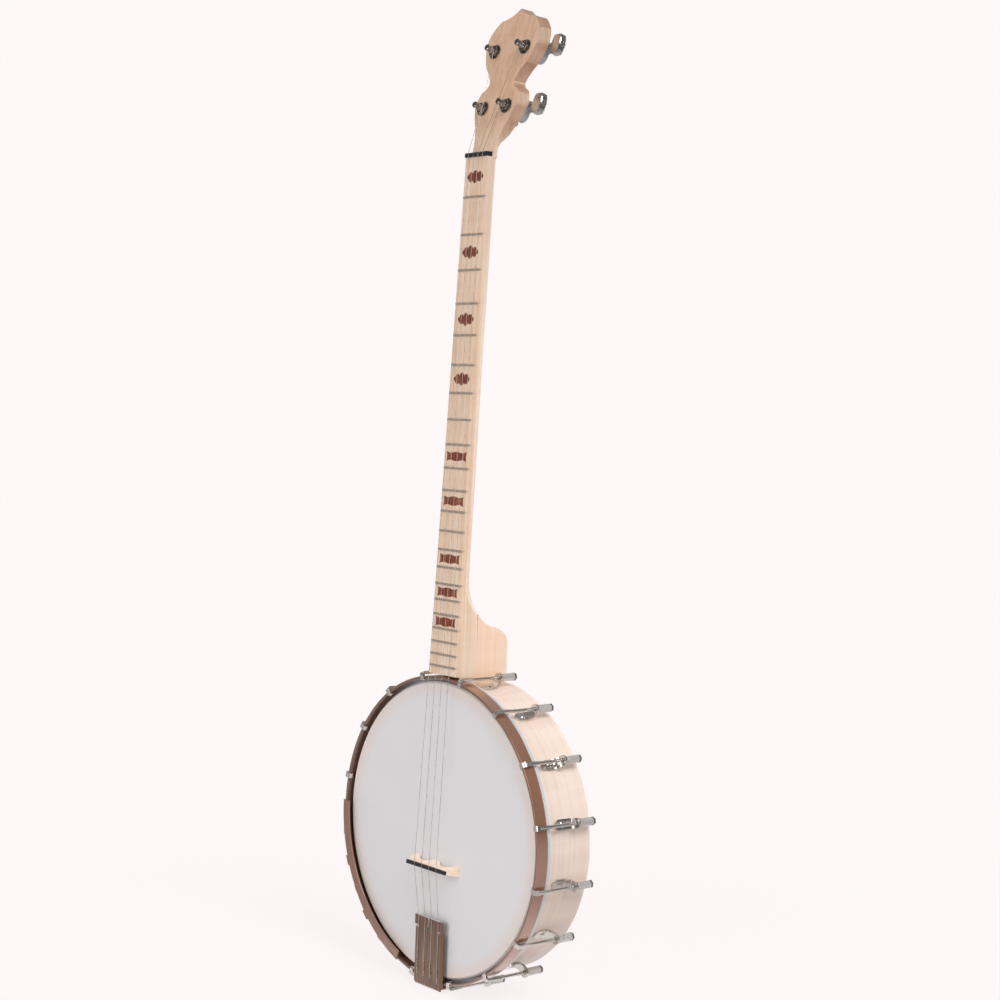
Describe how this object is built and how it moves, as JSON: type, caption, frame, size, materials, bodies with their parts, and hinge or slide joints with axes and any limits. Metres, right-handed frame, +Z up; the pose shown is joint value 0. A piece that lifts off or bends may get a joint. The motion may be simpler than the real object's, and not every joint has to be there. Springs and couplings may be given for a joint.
{
  "type": "four-string banjo",
  "caption": "Open-back plectrum banjo with a round wooden rim, a clamped drum head, a long fretted neck and geared tuners.",
  "frame": {"origin": "on the centre line of the fingerboard face, at the lower edge of the nut, where the neck sits in a hanger", "axes": "+Z up towards the peghead, square to the rim's own axis; -Y is the side the drum head faces; +X is the viewer's right"},
  "size_m": [0.301, 0.0941, 0.9307],
  "materials": {
    "maple": "satin lacquer",
    "heel_maple": "satin lacquer",
    "brown_inlay": "polished flush",
    "brown_brass": "dark antique plate",
    "nickel": "polished nickel plate",
    "black": "satin",
    "head_film": "frosted coating",
    "flesh_hoop": "satin",
    "fret_wire": "polished",
    "string_steel": "bright",
    "gear_brass": "machined"
  },
  "bodies": {
    "frame": {"neck": "maple", "heel_block": "heel_maple", "frets": "fret_wire", "nut": "black", "oval_inlays": "brown_inlay", "bowtie_inlays": "brown_inlay", "rim": "maple", "head_film": "head_film", "flesh_hoop": "flesh_hoop", "tension_hoop": "brown_brass", "bracket_hooks": "nickel", "bracket_nuts": "nickel", "bracket_shoes": "nickel", "shoe_bolts": "nickel", "shoe_washers": "nickel", "tailpiece": "brown_brass", "tailpiece_bolt": "nickel", "tailpiece_nut": "nickel", "bridge_body": "maple", "bridge_top": "black", "armrest": "brown_brass", "armrest_clamps": "brown_brass", "armrest_screws": "nickel", "neck_bolts": "nickel", "neck_washers": "nickel", "tuner_housings": "nickel", "tuner_covers": "nickel", "tuner_bushings": "nickel", "tuner_washers": "nickel", "tuner_screws": "nickel", "string_1": "string_steel", "string_2": "string_steel", "string_3": "string_steel", "string_4": "string_steel"},
    "knob_1": {"worm_shaft_1": "nickel", "tuner_button_1": "nickel", "button_screw_1": "nickel"},
    "post_1": {"tuner_post_1": "nickel", "worm_wheel_1": "gear_brass", "string_winding_1": "string_steel"},
    "knob_2": {"worm_shaft_2": "nickel", "tuner_button_2": "nickel", "button_screw_2": "nickel"},
    "post_2": {"tuner_post_2": "nickel", "worm_wheel_2": "gear_brass", "string_winding_2": "string_steel"},
    "knob_3": {"worm_shaft_3": "nickel", "tuner_button_3": "nickel", "button_screw_3": "nickel"},
    "post_3": {"tuner_post_3": "nickel", "worm_wheel_3": "gear_brass", "string_winding_3": "string_steel"},
    "knob_4": {"worm_shaft_4": "nickel", "tuner_button_4": "nickel", "button_screw_4": "nickel"},
    "post_4": {"tuner_post_4": "nickel", "worm_wheel_4": "gear_brass", "string_winding_4": "string_steel"}
  },
  "joints": [
    {"name": "knob_turn_1", "type": "hinge", "parent": "frame", "child": "knob_1", "pos_m": [0.017, 0.04145, 0.05096], "axis": [1, 0, 0], "continuous": true},
    {"name": "post_turn_1", "type": "hinge", "parent": "frame", "child": "post_1", "pos_m": [0.017, 0.01997, 0.0483], "axis": [0, 0.9609, -0.2768], "continuous": true, "deforming": ["string_winding_1"]},
    {"name": "knob_turn_2", "type": "hinge", "parent": "frame", "child": "knob_2", "pos_m": [0.0218, 0.05773, 0.10746], "axis": [1, 0, 0], "continuous": true},
    {"name": "post_turn_2", "type": "hinge", "parent": "frame", "child": "post_2", "pos_m": [0.0218, 0.03625, 0.1048], "axis": [0, 0.9609, -0.2768], "continuous": true, "deforming": ["string_winding_2"]},
    {"name": "knob_turn_3", "type": "hinge", "parent": "frame", "child": "knob_3", "pos_m": [-0.0218, 0.05773, 0.10746], "axis": [1, 0, 0], "continuous": true},
    {"name": "post_turn_3", "type": "hinge", "parent": "frame", "child": "post_3", "pos_m": [-0.0218, 0.03625, 0.1048], "axis": [0, 0.9609, -0.2768], "continuous": true, "deforming": ["string_winding_3"]},
    {"name": "knob_turn_4", "type": "hinge", "parent": "frame", "child": "knob_4", "pos_m": [-0.017, 0.04145, 0.05096], "axis": [1, 0, 0], "continuous": true},
    {"name": "post_turn_4", "type": "hinge", "parent": "frame", "child": "post_4", "pos_m": [-0.017, 0.01997, 0.0483], "axis": [0, 0.9609, -0.2768], "continuous": true, "deforming": ["string_winding_4"]}
  ],
  "couplings": [
    {"joint": "post_turn_1", "follows": "knob_turn_1", "ratio": -0.071429},
    {"joint": "post_turn_2", "follows": "knob_turn_2", "ratio": -0.071429},
    {"joint": "post_turn_3", "follows": "knob_turn_3", "ratio": 0.071429},
    {"joint": "post_turn_4", "follows": "knob_turn_4", "ratio": 0.071429}
  ]
}
